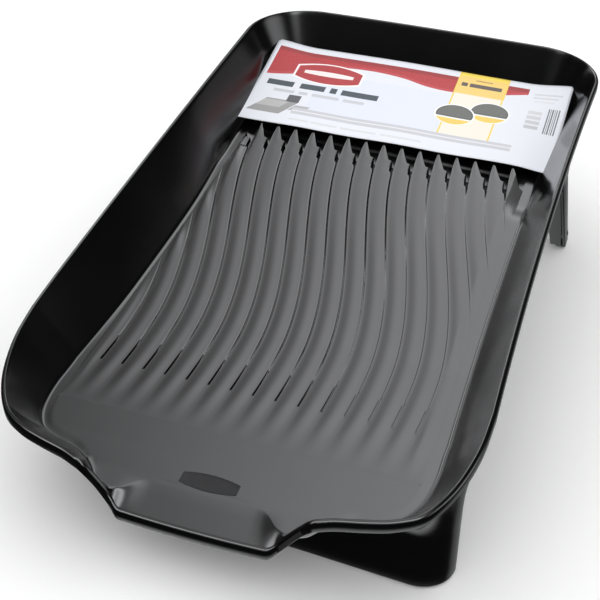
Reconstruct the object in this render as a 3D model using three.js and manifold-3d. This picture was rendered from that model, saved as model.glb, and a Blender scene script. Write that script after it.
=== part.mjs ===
// Sloped dish draining board: a black moulded tray with flared walls, S-curved ribs and a pouring
// lip, standing on a front skirt and two clip-in rear legs, with rubber feet and a card label.
//
// Everything is in millimetres, +X right, +Y to the back, +Z up. The tray is drawn in its own
// frame, where the rim's corners lie in the plane z = 0, and then tipped by SLOPE towards the
// lip and lifted to RIM_HEIGHT. Skirt, legs and feet are drawn upright in the standing frame.

import * as THREE from 'three';
import { mergeVertices } from 'three/addons/utils/BufferGeometryUtils.js';
import Module from 'manifold-3d';

const wasm = await Module();
wasm.setup();

// ---------------------------------------------------------------- driving dimensions
const HALF_WIDTH = 150;          // half the rim's width at its ends
const WAIST = 5.8;               // how far each long side bows in at mid length
const HUMP = 11.6;               // how far the side rims rise at mid length
const BACK_Y = 276;              // rim's back edge, tray frame
const BACK_CORNER = 58;          // plan radius of the back corners
const SIDE_FRONT_Y = -165;       // where the straight side meets the front corner
const LIP_Y = -268;              // front edge of the pouring lip, tray frame
const LIP_HALF = 45;             // half the lip's width
const LIP_DROP = 24.5;           // how far the rim drops to the lip
const LIP_RAMP = 27;             // width over which the rim drops on each side of the lip
const LIP_BOW = 0.8;             // slight outward bow of the lip's front edge
const BACK_BOW = 1.2;            // slight outward bow of the back edge
const SLOPE = THREE.MathUtils.degToRad(6.58);
const RIM_HEIGHT = 98.1;         // height of the tray frame's origin above the table
const DEPTH = 200;               // reach of the space that trims what hangs under the tray

const SKIN = 2.4;                // wall thickness of the moulding
const FLANGE = 3.2;              // width of the rim's rolled top
const BAND = 8;                  // height of the rim's down-turned band
const BAND_SKIN = 1.8;           // thickness of that band
const SIDE_INSET = 32;           // rim edge to flat floor along the sides and back
const FRONT_INSET = 20;          // the same along the front
const FLOOR_BACK = -38.5;        // floor height at the back wall, tray frame
const FLOOR_RISE = 0.0216;       // floor rise per millimetre towards the lip, tray frame

const RIB_PITCH = 14.6;          // spacing of the ribs
const RIB_BASE = 12.8;           // rib width at the floor
const RIB_CREST = 9.4;           // rib width along its top
const RIB_TOP = -30;             // crest height, tray frame
const RIB_BACK_Y = 137;          // pointed back ends of the ribs
const RIB_FRONT_Y = -196;        // where the ribs have died into the apron
const RIB_LIMIT = 111;           // furthest crest line from the middle
const SWEEP = 46;                // sideways sweep of the S
const SWEEP_FROM = -120;         // the S starts here ...
const SWEEP_TO = 130;            // ... and ends here
const HOOK = 0.0011;             // how fast the ribs hook back in front of SWEEP_FROM

const BADGE = { width: 35, height: 13, depth: 0.8, y: -243.5 };

const SKIRT_FOOT = 1.6;          // the skirt's lower edge, above the table
const SKIRT_FRONT = -228;        // front face of the skirt at its right corner
const SKIRT_SIDE = 140;          // side faces of the skirt
const SKIRT_BACK = -60;          // where the skirt ends along the sides
const SKIRT_CORNER = 21;         // plan radius of its right front corner
const DRAFT = 0.03;              // how much the skirt narrows per millimetre of height
const FLARE = 13;                // furthest that its top flares out under the rim
const FLARE_FROM = 38;           // height where the flare starts
const FLARE_TO = 64;             // height where the flare ends away from the rim's band

const LEG = { inner: 124, outer: 140, front: 156, back: 181.5, top: 62, wall: 2.4 };
const FOOT = { inner: 136, outer: 148.6, front: 172.6, back: 186.3, block: 8 };
const TONGUE = 19;               // height of the leg's tongue in its socket
const FIT = 0.3;                 // clearance between pieces that touch
const SLIVER = 0.02;             // size of the slivers that a join may leave

const PAD_THICK = 1.3;
const FRONT_PAD = { x: 122, y: -211, radius: 9 };
const LEFT_PAD = { x: -121, y: -146, radius: 9 };
const LABEL = { width: 249, length: 120.5, thick: 0.5, front: 132, z: -28.9, backCorner: 46 };

// ---------------------------------------------------------------- small helpers
const smooth = (t) => THREE.MathUtils.smoothstep(t, 0, 1);
const { lerp } = THREE.MathUtils;

function toManifold(geometry) {
  const bare = geometry.clone();
  bare.deleteAttribute('normal');
  bare.deleteAttribute('uv');
  const merged = mergeVertices(bare, 1e-4);
  return new wasm.Manifold(new wasm.Mesh({
    numProp: 3,
    vertProperties: Float32Array.from(merged.attributes.position.array),
    triVerts: Uint32Array.from(merged.index.array),
  }));
}

function toGeometry(solid) {
  const mesh = solid.simplify(SLIVER / 5).getMesh();
  const geometry = new THREE.BufferGeometry();
  geometry.setAttribute('position', new THREE.BufferAttribute(mesh.vertProperties, 3));
  geometry.setIndex(new THREE.BufferAttribute(mesh.triVerts, 1));
  geometry.computeVertexNormals();
  return geometry;
}

// A closed skin over a row of rings, each a loop of the same number of points.
function skin(rings, capped = true) {
  const count = rings[0].length;
  const positions = rings.flat().flatMap((p) => [p.x, p.y, p.z]);
  const index = [];
  for (let i = 0; i + 1 < rings.length; i += 1) {
    for (let k = 0; k < count; k += 1) {
      const next = (k + 1) % count;
      const a = i * count + k;
      const b = i * count + next;
      index.push(a, b, b + count, a, b + count, a + count);
    }
  }
  if (capped) {
    const end = (rings.length - 1) * count;
    for (let low = 0, high = count - 1; high - low >= 2; low += 1, high -= 1) {
      index.push(low, high, low + 1, end + low, end + low + 1, end + high);
      if (high - low > 2) index.push(low + 1, high, high - 1, end + low + 1, end + high - 1, end + high);
    }
  }
  const geometry = new THREE.BufferGeometry();
  geometry.setAttribute('position', new THREE.Float32BufferAttribute(positions, 3));
  geometry.setIndex(index);
  return mergeVertices(geometry, 1e-4);
}

// From the tray's own frame to the standing frame.
function stand(geometry) {
  return geometry.rotateX(SLOPE).translate(0, 0, RIM_HEIGHT);
}

function box(x0, x1, y0, y1, z0, z1) {
  return new THREE.BoxGeometry(x1 - x0, y1 - y0, z1 - z0)
    .translate((x0 + x1) / 2, (y0 + y1) / 2, (z0 + z1) / 2);
}

// ---------------------------------------------------------------- tray: outline and section
const waisted = (x, y) => x * (1 - (WAIST / HALF_WIDTH) * (1 - (y / BACK_Y) ** 2));

function rimHeight(x, y) {
  const arch = HUMP * (1 - (y / BACK_Y) ** 2) - 0.00045 * Math.max(0, -120 - y) ** 2;
  const lip = y < 0 ? LIP_DROP * (1 - smooth((Math.abs(x) - LIP_HALF + 1) / LIP_RAMP)) : 0;
  return arch - lip;
}

const floorHeight = (y) => FLOOR_BACK + FLOOR_RISE * (BACK_Y - SIDE_INSET - y);

// Half the rim's plan, from the middle of the lip round the right side to the middle of the back.
function halfOutline() {
  const points = [new THREE.Vector2(0, LIP_Y - LIP_BOW), new THREE.Vector2(26, LIP_Y - LIP_BOW / 2)];
  const corner = new THREE.SplineCurve([
    [LIP_HALF - 6, LIP_Y], [LIP_HALF, -267.4], [51, -263.8], [58, -262.2], [68, -261.3], [80, -257.3],
    [95, -250.8], [110, -244.2], [122, -236.5], [132, -226], [140, -211], [145, -190],
    [waisted(HALF_WIDTH, SIDE_FRONT_Y), SIDE_FRONT_Y],
  ].map(([x, y]) => new THREE.Vector2(x, y)));
  points.push(...corner.getSpacedPoints(30));
  const sideEnd = BACK_Y - BACK_CORNER;
  for (let i = 1; i <= 14; i += 1) {
    const y = lerp(SIDE_FRONT_Y, sideEnd, i / 14);
    points.push(new THREE.Vector2(waisted(HALF_WIDTH, y), y));
  }
  for (let i = 1; i <= 9; i += 1) {
    const angle = (i / 9) * (Math.PI / 2);
    const y = sideEnd + BACK_CORNER * Math.sin(angle);
    const x = HALF_WIDTH - BACK_CORNER + BACK_CORNER * Math.cos(angle);
    points.push(new THREE.Vector2(waisted(x, y), y));
  }
  points.push(new THREE.Vector2(0, BACK_Y + BACK_BOW));
  return points;
}

// Distance from the rim's edge in to the flat floor.
function floorInset(x, y) {
  if (y > 0) return SIDE_INSET;
  const lip = lerp(16, 5, smooth((x - 28) / 18));
  const front = lerp(5, FRONT_INSET, smooth((x - 50) / 26));
  const side = (SIDE_INSET - FRONT_INSET) * smooth((y + 235) / 65);
  return (x < 48 ? lip : front) + side;
}

// Wall section at one station as [inset, height] pairs, from the floor out to the rim's inner edge.
function wallLine(inset, floor, rim) {
  const start = new THREE.Vector2(inset, floor);
  const foot = new THREE.Vector2(inset * 0.74, floor);
  const top = new THREE.Vector2(FLANGE, rim - 0.7);
  const rise = foot.clone().lerp(top, 0.25);
  const fillet = new THREE.QuadraticBezierCurve(start, foot, rise).getPoints(3);
  return [...fillet, top.clone().lerp(rise, 0.08), top];
}

// The same line moved by `depth` to the underside.
function underside(line, depth) {
  return line.map((p, i) => {
    const before = line[Math.max(0, i - 1)];
    const after = line[Math.min(line.length - 1, i + 1)];
    const along = after.clone().sub(before).normalize();
    const across = new THREE.Vector2(along.y, -along.x);
    if (across.y > 0) across.negate();
    return i === 0 ? new THREE.Vector2(p.x, p.y - depth) : p.clone().addScaledVector(across, depth);
  });
}

// Closed half section, from the floor's top out round the rim and back to the floor's bottom.
function traySection(inset, floor, rim) {
  const line = wallLine(inset, floor, rim);
  const under = underside(line, SKIN).slice(0, -1);
  const neck = under[under.length - 1];
  neck.x = Math.max(neck.x, BAND_SKIN + 0.5);
  neck.y = Math.max(neck.y, rim - BAND + 2);
  return [
    ...line,
    new THREE.Vector2(FLANGE * 0.6, rim),
    new THREE.Vector2(FLANGE * 0.25, rim),
    new THREE.Vector2(0, rim - 1.2),
    new THREE.Vector2(0, rim - BAND),
    new THREE.Vector2(BAND_SKIN, rim - BAND),
    new THREE.Vector2(BAND_SKIN, neck.y),
    ...under.reverse(),
  ];
}

// Closed half section of all the space under the tray's mid-skin, down to DEPTH.
function belowSection(inset, floor, rim) {
  const mid = underside(wallLine(inset, floor, rim), SKIN / 2).slice(0, -1);
  const edge = mid[mid.length - 1];
  return [
    ...mid,
    new THREE.Vector2(BAND_SKIN / 2, edge.y),
    new THREE.Vector2(BAND_SKIN / 2, -DEPTH),
    new THREE.Vector2(inset, -DEPTH),
  ];
}

// The deep end of that space leans in the tray frame, so that it is plumb once the tray is tipped.
const plumb = (p) => (p.y === -DEPTH ? -DEPTH * Math.tan(SLOPE) : 0);

// Sweeps a half section round both halves of the outline. Each ring runs from the right half
// section back over to the mirrored left one, so the two halves share the floor between them.
function sweepTray(section) {
  const outline = halfOutline();
  const rings = outline.map((point, i) => {
    const before = outline[Math.max(0, i - 1)];
    const after = outline[Math.min(outline.length - 1, i + 1)];
    const along = after.clone().sub(before).normalize();
    const outward = new THREE.Vector2(along.y, -along.x);
    if (i === 0) outward.set(0, -1);
    if (i === outline.length - 1) outward.set(0, 1);
    const inset = floorInset(point.x, point.y);
    const floorY = point.y - outward.y * inset;
    const half = section(inset, floorHeight(floorY), rimHeight(point.x, point.y));
    const right = half.map((p) => new THREE.Vector3(
      Math.max(0, point.x - outward.x * p.x), point.y - outward.y * p.x + plumb(p), p.y));
    const left = right.map((p) => new THREE.Vector3(-p.x, p.y, p.z)).reverse();
    return [...right, ...left];
  });
  return skin(rings, false);
}

// ---------------------------------------------------------------- tray: ribs and badge
function sweepLine(y) {
  const bend = -SWEEP * smooth((y - SWEEP_FROM) / (SWEEP_TO - SWEEP_FROM));
  return bend - HOOK * Math.max(0, SWEEP_FROM - y) ** 2;
}

// One rib: straight left edge, right edge cut back to a point at the rear, fading at the front.
function rib(middle) {
  const stations = [];
  for (let y = RIB_FRONT_Y; y <= RIB_BACK_Y; y += 3) {
    if (Math.abs(middle + sweepLine(y)) <= RIB_LIMIT) stations.push(y);
  }
  const front = stations[0];
  const back = stations[stations.length - 1];
  const steps = Math.max(6, Math.round((back - front) / 21));
  const rings = [];
  for (let i = 0; i <= steps; i += 1) {
    const y = lerp(front, back, i / steps);
    const centre = middle + sweepLine(y);
    const point = Math.min(1, 0.12 + (back - y) / 24);
    const fade = smooth((y - front) / (front > RIB_FRONT_Y ? 30 : 70));
    const floor = floorHeight(y);
    const top = floor + Math.max(0.15, (RIB_TOP - floor) * fade);
    const left = centre - RIB_BASE / 2;
    const rim = (RIB_BASE - RIB_CREST) / 2;
    rings.push([
      new THREE.Vector3(left, y, floor - 1),
      new THREE.Vector3(left + rim, y, top - 0.5 * fade),
      new THREE.Vector3(left + lerp(rim, RIB_BASE / 2, point), y, top),
      new THREE.Vector3(left + lerp(rim * 1.2, RIB_BASE - rim, point), y, top - 0.5 * fade),
      new THREE.Vector3(left + lerp(rim * 1.6, RIB_BASE, point), y, floor - 1),
    ]);
  }
  return skin(rings);
}

// Shallow blank badge pocket, a rectangle with bowed long sides.
function badgeCutter() {
  const w = BADGE.width / 2;
  const h = BADGE.height / 2;
  const shape = new THREE.Shape();
  shape.moveTo(-w, -h * 0.62);
  shape.quadraticCurveTo(0, -h * 1.38, w, -h * 0.62);
  shape.lineTo(w * 1.04, h * 0.62);
  shape.quadraticCurveTo(0, h * 1.38, -w * 1.04, h * 0.62);
  shape.closePath();
  const geometry = new THREE.ExtrudeGeometry(shape, { depth: 5, bevelEnabled: false, curveSegments: 8 });
  return geometry.rotateX(-Math.atan(FLOOR_RISE))
    .translate(0, BADGE.y, floorHeight(BADGE.y) - BADGE.depth);
}

// ---------------------------------------------------------------- tray: skirt, corner webs, sockets
// Plan of the skirt's outer face at the table. The left front corner is cut back diagonally.
function skirtPlan() {
  const plan = new THREE.Path();
  plan.moveTo(SKIRT_SIDE - 19, SKIRT_BACK);
  plan.lineTo(SKIRT_SIDE, SKIRT_FRONT + SKIRT_CORNER);
  plan.absarc(SKIRT_SIDE - SKIRT_CORNER, SKIRT_FRONT + SKIRT_CORNER, SKIRT_CORNER, 0, -Math.PI / 2, true);
  for (const x of [105, 90, 75, 65, 58, 50]) plan.lineTo(x, SKIRT_FRONT + (119 - x) * 0.055);
  plan.lineTo(-42, SKIRT_FRONT + 4);
  plan.quadraticCurveTo(-56, SKIRT_FRONT + 4, -66, SKIRT_FRONT + 13);
  plan.lineTo(-130, -164);
  plan.quadraticCurveTo(-138, -156, -138, -142);
  plan.lineTo(-SKIRT_SIDE + 19, SKIRT_BACK);
  const points = plan.getPoints(6);
  return points.filter((p, i) => i === 0 || p.distanceTo(points[i - 1]) > 0.01);
}

// The right half of the rim's outer edge in the standing frame, at the bottom of its band.
function bandEdge() {
  return halfOutline().map((p) => {
    const z = rimHeight(p.x, p.y) - BAND;
    return new THREE.Vector3(p.x, p.y, z).applyAxisAngle(new THREE.Vector3(1, 0, 0), SLOPE)
      .add(new THREE.Vector3(0, 0, RIM_HEIGHT));
  });
}

// How far the flare goes from a point of the plan out to the rim's band, and how high it ends.
function flareEnd(point, outward, edge) {
  for (let i = 0; i + 1 < edge.length; i += 1) {
    const along = edge[i + 1].clone().sub(edge[i]);
    const cross = outward.x * along.y - outward.y * along.x;
    const gap = new THREE.Vector2(edge[i].x - point.x, edge[i].y - point.y);
    const reach = (gap.x * along.y - gap.y * along.x) / cross;
    const share = (gap.x * outward.y - gap.y * outward.x) / cross;
    if (share >= 0 && share < 1 && reach > -5 && reach < 60) {
      return { reach, height: edge[i].z + along.z * share };
    }
  }
  return { reach: 0, height: FLARE_TO };
}

function skirtWall() {
  const plan = skirtPlan();
  const edge = bandEdge();
  const rings = plan.map((point, i) => {
    const along = plan[Math.min(plan.length - 1, i + 1)].clone().sub(plan[Math.max(0, i - 1)]).normalize();
    const outward = new THREE.Vector2(-along.y, along.x);
    const end = flareEnd(point, outward, edge);
    const beyondLip = point.x > 0 ? smooth((point.x - 50) / 15) : 0;
    const reach = THREE.MathUtils.clamp(end.reach - BAND_SKIN * 0.7, -2, FLARE) * beyondLip;
    const top = lerp(FLARE_TO, end.height + 1.5, beyondLip);
    const draft = DRAFT * FLARE_FROM;
    const profile = [[0, SKIRT_FOOT]];
    for (const t of [0, 0.3, 0.55, 0.8, 1]) {
      profile.push([lerp(-draft, reach, t ** 2), lerp(FLARE_FROM, top, t)]);
    }
    profile.push([reach, 110]);
    const at = (offset, z) => new THREE.Vector3(point.x + outward.x * offset, point.y + outward.y * offset, z);
    const outer = profile.map(([offset, z]) => at(offset, z));
    const inner = profile.map(([offset, z]) => at(offset - SKIN, z)).reverse();
    return [...outer, ...inner];
  });
  return skin(rings);
}

// Flat web in a skirt corner that a rubber foot sticks to.
function cornerWeb(pad) {
  return new THREE.CylinderGeometry(pad.radius + 5, pad.radius + 5, SKIN, 24)
    .rotateX(Math.PI / 2)
    .translate(pad.x, pad.y, SKIRT_FOOT + SKIN / 2);
}

// Web between the foot's disc and the skirt, cut to the skirt's plan.
function footWeb(pad) {
  const side = Math.sign(pad.x);
  const geometry = box(0, 30, -16, 16, SKIRT_FOOT, SKIRT_FOOT + SKIN);
  return side > 0 ? geometry.translate(pad.x - 12, pad.y, 0) : geometry.translate(pad.x - 18, pad.y, 0);
}

function skirtInside() {
  const shape = new THREE.Shape(skirtPlan());
  return new THREE.ExtrudeGeometry(shape, { depth: 20, bevelEnabled: false });
}

function socketBlock(side) {
  const block = box(LEG.inner, LEG.outer, LEG.front, LEG.back, LEG.top + FIT, 130);
  return side > 0 ? block : block.translate(-(LEG.inner + LEG.outer), 0, 0);
}

function socketHole(side) {
  const w = LEG.wall;
  const hole = box(LEG.inner + w, LEG.outer - w, LEG.front + w, LEG.back - w, LEG.top - 1, LEG.top + TONGUE + 1);
  return side > 0 ? hole : hole.translate(-(LEG.inner + LEG.outer), 0, 0);
}

function tray() {
  const shell = toManifold(stand(sweepTray(traySection)));
  const below = toManifold(stand(sweepTray(belowSection)));
  let under = toManifold(skirtWall()).intersect(below);
  const inside = toManifold(skirtInside());
  for (const pad of [FRONT_PAD, LEFT_PAD]) {
    const web = toManifold(cornerWeb(pad)).add(toManifold(footWeb(pad)));
    under = under.add(web.intersect(inside));
  }
  for (const side of [-1, 1]) {
    under = under.add(toManifold(socketBlock(side)).intersect(below));
    under = under.subtract(toManifold(socketHole(side)));
  }
  // The joins leave slivers where faces nearly coincide; those under SLIVER are dropped.
  let solid = shell.add(under).simplify(SLIVER);
  for (let n = -12; n <= 12; n += 1) {
    const middle = (n + 0.5) * RIB_PITCH;
    const insideFront = Math.abs(middle + sweepLine(RIB_FRONT_Y)) < RIB_LIMIT;
    const insideBack = Math.abs(middle + sweepLine(RIB_BACK_Y)) < RIB_LIMIT;
    if (insideFront || insideBack) solid = solid.add(toManifold(stand(rib(middle))));
  }
  return toGeometry(solid.subtract(toManifold(stand(badgeCutter()))));
}

// ---------------------------------------------------------------- rear legs
// One leg, drawn on the right: a splayed side plate and a narrower front plate that meet in an
// L and part into two prongs at the foot, a shoulder, a tongue and a small block for the pad.
function legParts() {
  const w = LEG.wall;
  const corner = (x, y, z) => new THREE.Vector3(x, y, z);
  const plate = (low, high) => skin([low, high]);
  const side = plate(
    [corner(FOOT.outer - w, FOOT.front, SKIRT_FOOT), corner(FOOT.outer, FOOT.front, SKIRT_FOOT),
      corner(FOOT.outer, FOOT.back, SKIRT_FOOT), corner(FOOT.outer - w, FOOT.back, SKIRT_FOOT)],
    [corner(LEG.outer - w, LEG.front, LEG.top), corner(LEG.outer, LEG.front, LEG.top),
      corner(LEG.outer, LEG.back, LEG.top), corner(LEG.outer - w, LEG.back, LEG.top)]);
  const front = plate(
    [corner(FOOT.inner, FOOT.front + 1, SKIRT_FOOT), corner(FOOT.outer - 3.6, FOOT.front + 1, SKIRT_FOOT),
      corner(FOOT.outer - 3.6, FOOT.front + 1 + w, SKIRT_FOOT), corner(FOOT.inner, FOOT.front + 1 + w, SKIRT_FOOT)],
    [corner(LEG.inner, LEG.front, LEG.top), corner(LEG.outer, LEG.front, LEG.top),
      corner(LEG.outer, LEG.front + w, LEG.top), corner(LEG.inner, LEG.front + w, LEG.top)]);
  const shoulder = box(LEG.inner, LEG.outer, LEG.front, LEG.back, LEG.top - w, LEG.top);
  const tongue = box(LEG.inner + w + FIT, LEG.outer - w - FIT, LEG.front + w + FIT, LEG.back - w - FIT,
    LEG.top - 1, LEG.top + TONGUE);
  const hollow = box(LEG.inner + 2 * w + FIT, LEG.outer - 2 * w - FIT, LEG.front + 2 * w + FIT,
    LEG.back - 2 * w - FIT, LEG.top, LEG.top + TONGUE + 1);
  const block = box(FOOT.outer - 9, FOOT.outer - 1, FOOT.front + 2, FOOT.back, SKIRT_FOOT, FOOT.block);
  return { side, front, shoulder, tongue, hollow, block };
}

function mirrored(geometry) {
  const copy = geometry.clone().scale(-1, 1, 1);
  const index = copy.index.array;
  for (let i = 0; i < index.length; i += 3) [index[i], index[i + 1]] = [index[i + 1], index[i]];
  copy.computeVertexNormals();
  return copy;
}

function rearLeg() {
  const parts = legParts();
  let solid = toManifold(parts.side);
  for (const name of ['front', 'shoulder', 'tongue', 'block']) solid = solid.add(toManifold(parts[name]));
  return toGeometry(solid.subtract(toManifold(parts.hollow)));
}

// ---------------------------------------------------------------- feet and label
function roundPad(pad) {
  return new THREE.CylinderGeometry(pad.radius - 0.8, pad.radius, PAD_THICK, 24)
    .rotateX(Math.PI / 2)
    .rotateX(Math.PI)
    .translate(pad.x, pad.y, PAD_THICK / 2);
}

function legPad() {
  return box(FOOT.outer - 8.6, FOOT.outer - 0.6, FOOT.front + 3.5, FOOT.back - 0.4, 0, PAD_THICK);
}

// Thin card lying over the rib ends, its back corners cut to the curve of the wall.
function label() {
  const w = LABEL.width / 2;
  const shape = new THREE.Shape();
  const radius = 2;
  const wide = LABEL.backCorner;
  shape.moveTo(-w + radius, 0);
  shape.lineTo(w - radius, 0);
  shape.absarc(w - radius, radius, radius, -Math.PI / 2, 0);
  shape.lineTo(w, LABEL.length - wide);
  shape.absarc(w - wide, LABEL.length - wide, wide, 0, Math.PI / 2);
  shape.lineTo(-w + wide, LABEL.length);
  shape.absarc(-w + wide, LABEL.length - wide, wide, Math.PI / 2, Math.PI);
  shape.lineTo(-w, radius);
  shape.absarc(-w + radius, radius, radius, Math.PI, Math.PI * 1.5);
  const card = new THREE.ExtrudeGeometry(shape, { depth: LABEL.thick, bevelEnabled: false, curveSegments: 3 });
  return stand(card.translate(0, LABEL.front, LABEL.z));
}

// ---------------------------------------------------------------- assembly
const GLOSS_BLACK = new THREE.MeshStandardMaterial({ color: 0x0b0b0c, roughness: 0.22, metalness: 0 });
const RUBBER = new THREE.MeshStandardMaterial({ color: 0x161617, roughness: 0.85, metalness: 0 });
const PAPER = new THREE.MeshStandardMaterial({ color: 0xf1f0ec, roughness: 0.5, metalness: 0 });

const board = new THREE.Group();

function place(name, geometry, material) {
  const mesh = new THREE.Mesh(geometry, material);
  mesh.name = name;
  board.add(mesh);
  return mesh;
}

place('tray', tray(), GLOSS_BLACK);
const rightLeg = rearLeg();
place('rear_leg_right', rightLeg, GLOSS_BLACK);
place('rear_leg_left', mirrored(rightLeg), GLOSS_BLACK);
place('rear_foot_pad_right', legPad(), RUBBER);
place('rear_foot_pad_left', mirrored(legPad()), RUBBER);
place('front_foot_pad_right', roundPad(FRONT_PAD), RUBBER);
place('front_foot_pad_left', roundPad(LEFT_PAD), RUBBER);
place('product_label', label(), PAPER);

// The origin goes to the middle of the footprint, on the table.
const extent = new THREE.Box3().setFromObject(board);
board.position.y = -(extent.min.y + extent.max.y) / 2;

export default board;
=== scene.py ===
"""Sloped dish draining board: glossy black ribbed tray, clip-in rear legs, rubber pads, card label.

Lengths below are in millimetres unless a name ends in _m. The tray is drawn in its own frame, where
the rim's corners lie in z = 0, then tipped by SLOPE and lifted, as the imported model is.
"""
import math

import bmesh
import bpy
import numpy as np
from mathutils import Matrix, Vector
from mathutils.bvhtree import BVHTree


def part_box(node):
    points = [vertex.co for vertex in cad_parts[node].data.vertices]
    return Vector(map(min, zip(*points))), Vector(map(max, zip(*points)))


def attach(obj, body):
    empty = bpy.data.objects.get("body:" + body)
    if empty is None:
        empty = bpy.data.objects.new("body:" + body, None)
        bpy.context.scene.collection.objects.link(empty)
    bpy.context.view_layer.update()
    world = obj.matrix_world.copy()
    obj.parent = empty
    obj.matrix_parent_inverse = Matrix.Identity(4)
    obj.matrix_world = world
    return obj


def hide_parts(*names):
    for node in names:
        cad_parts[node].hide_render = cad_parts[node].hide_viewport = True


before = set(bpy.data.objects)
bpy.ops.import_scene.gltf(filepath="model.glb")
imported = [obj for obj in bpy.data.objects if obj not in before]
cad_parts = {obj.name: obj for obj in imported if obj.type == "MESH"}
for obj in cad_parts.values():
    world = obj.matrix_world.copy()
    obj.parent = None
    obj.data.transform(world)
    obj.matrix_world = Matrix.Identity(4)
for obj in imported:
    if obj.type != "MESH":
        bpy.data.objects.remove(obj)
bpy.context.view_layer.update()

MM = 0.001
HALF_WIDTH, WAIST, HUMP = 150.0, 5.8, 11.6
BACK_Y, BACK_CORNER, BACK_BOW = 276.0, 58.0, 1.2
SIDE_FRONT_Y, LIP_Y, LIP_HALF, LIP_DROP, LIP_RAMP, LIP_BOW = -165.0, -268.0, 45.0, 24.5, 27.0, 0.8
SLOPE = math.radians(6.58)
RIM_HEIGHT = 98.1
SKIN, FLANGE, BAND, BAND_SKIN = 2.4, 3.2, 8.0, 1.8
SIDE_INSET, FRONT_INSET = 32.0, 26.0
LEFT_FALL = 2.8
FLOOR_BACK, FLOOR_RISE = -38.5, 0.0216
RIB_PITCH, RIB_TOP = 14.6, -30.0
RIB_TIP_Y, NOTCH_Y, SLOT_Y = 135.5, 113.0, 98.0
SWEEP, SWEEP_FROM, SWEEP_TO, HOOK = 46.0, -120.0, 130.0, 0.0011
RECESS = 2.2
PAD_Y = -211.0
SHIFT = (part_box("front_foot_pad_right")[0][1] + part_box("front_foot_pad_right")[1][1]) / 2 / MM - PAD_Y


def smooth(t):
    t = np.clip(t, 0.0, 1.0)
    return t * t * (3 - 2 * t)


def lerp(a, b, t):
    return a + (b - a) * t


def stand(points):
    """Tray frame in millimetres to the row frame in metres."""
    p = np.asarray(points, float)
    c, s = math.cos(SLOPE), math.sin(SLOPE)
    y = p[..., 1] * c - p[..., 2] * s + SHIFT
    z = p[..., 1] * s + p[..., 2] * c + RIM_HEIGHT
    return np.stack([p[..., 0], y, z], -1) * MM


# ---------------------------------------------------------------- mesh helpers
def make(name, vertices, faces, body, shade_angle=40.0):
    mesh = bpy.data.meshes.new(name)
    mesh.from_pydata([tuple(v) for v in vertices], [], faces)
    mesh.validate()
    piece = bpy.data.objects.new(name, mesh)
    bpy.context.scene.collection.objects.link(piece)
    finish_mesh(piece, shade_angle)
    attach(piece, body)
    return piece


def finish_mesh(piece, shade_angle):
    """Merged, smooth shaded, sharp where faces meet at more than shade_angle degrees."""
    work = bmesh.new()
    work.from_mesh(piece.data)
    bmesh.ops.remove_doubles(work, verts=work.verts, dist=2e-6)
    bmesh.ops.dissolve_degenerate(work, dist=1e-6, edges=work.edges)
    bmesh.ops.recalc_face_normals(work, faces=work.faces)
    for face in work.faces:
        face.smooth = True
    limit = math.radians(shade_angle)
    for edge in work.edges:
        if len(edge.link_faces) == 2 and edge.calc_face_angle(0) > limit:
            edge.smooth = False
    work.to_mesh(piece.data)
    work.free()


def ring_faces(rings, count, closed_row=False, offset=0):
    faces = []
    rows = rings if closed_row else rings - 1
    for i in range(rows):
        for k in range(count):
            a = offset + i * count + k
            b = offset + i * count + (k + 1) % count
            c = offset + ((i + 1) % rings) * count + (k + 1) % count
            d = offset + ((i + 1) % rings) * count + k
            faces.append((a, b, c, d))
    return faces


# ---------------------------------------------------------------- tray outline and section
def waisted(x, y):
    return x * (1 - (WAIST / HALF_WIDTH) * (1 - (y / BACK_Y) ** 2))


def rim_height(x, y):
    arch = HUMP * (1 - (y / BACK_Y) ** 2) - 0.00045 * max(0.0, -120 - y) ** 2
    lip = LIP_DROP * (1 - float(smooth((abs(x) - LIP_HALF + 1) / LIP_RAMP))) if y < 0 else 0.0
    return arch - lip


def floor_height(y):
    return FLOOR_BACK + FLOOR_RISE * (BACK_Y - SIDE_INSET - y)


def catmull(points, samples):
    points = np.array(points, float)
    last = len(points) - 1
    out = []
    for t in np.linspace(0, last, samples):
        i = min(int(t), last - 1)
        w = t - i
        p0 = points[max(0, i - 1)]
        p1, p2 = points[i], points[i + 1]
        p3 = points[min(last, i + 2)]
        v0, v1 = (p2 - p0) * 0.5, (p3 - p1) * 0.5
        cubic, square = 2 * p1 - 2 * p2 + v0 + v1, -3 * p1 + 3 * p2 - 2 * v0 - v1
        out.append(cubic * w ** 3 + square * w ** 2 + v0 * w + p1)
    return np.array(out)


def resample(points, count):
    steps = np.r_[0, np.cumsum(np.linalg.norm(np.diff(points, axis=0), axis=1))]
    at = np.linspace(0, steps[-1], count)
    return np.stack([np.interp(at, steps, points[:, k]) for k in (0, 1)], 1)


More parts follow.
